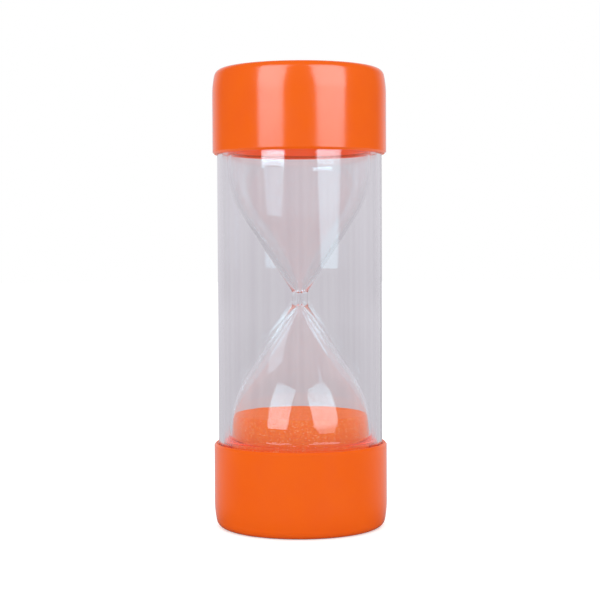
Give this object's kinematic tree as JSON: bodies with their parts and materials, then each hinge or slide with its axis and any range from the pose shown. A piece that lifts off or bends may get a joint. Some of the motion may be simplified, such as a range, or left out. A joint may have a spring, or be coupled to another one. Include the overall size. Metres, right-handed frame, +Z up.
{
  "type": "hourglass",
  "caption": "Sealed sand timer: clear moulded bulbs joined at a narrow neck, guarded by a clear barrel between two deep orange caps; it stands on either end.",
  "frame": {"origin": "centre of the face that the lower cap stands on", "axes": "+Z up along the timer's axis, from the end that holds the sand to the empty end; +X and +Y are free, because it is round"},
  "size_m": [0.065, 0.065, 0.1711],
  "materials": {
    "orange_plastic": "glossy moulded, evenly coloured",
    "lid_plastic": "moulded, semi-gloss",
    "clear_barrel": "clear drawn tube, faint grey-lilac tint",
    "clear_bulb": "clear moulded",
    "clear_bush": "clear moulded",
    "orange_sand": "fine dry coloured sand"
  },
  "bodies": {
    "root": {"lower_cap": "orange_plastic", "upper_cap": "orange_plastic", "barrel": "clear_barrel", "lower_lid": "lid_plastic", "upper_lid": "lid_plastic", "lower_bulb": "clear_bulb", "upper_bulb": "clear_bulb", "orifice_bush": "clear_bush", "sand": "orange_sand"}
  },
  "joints": []
}
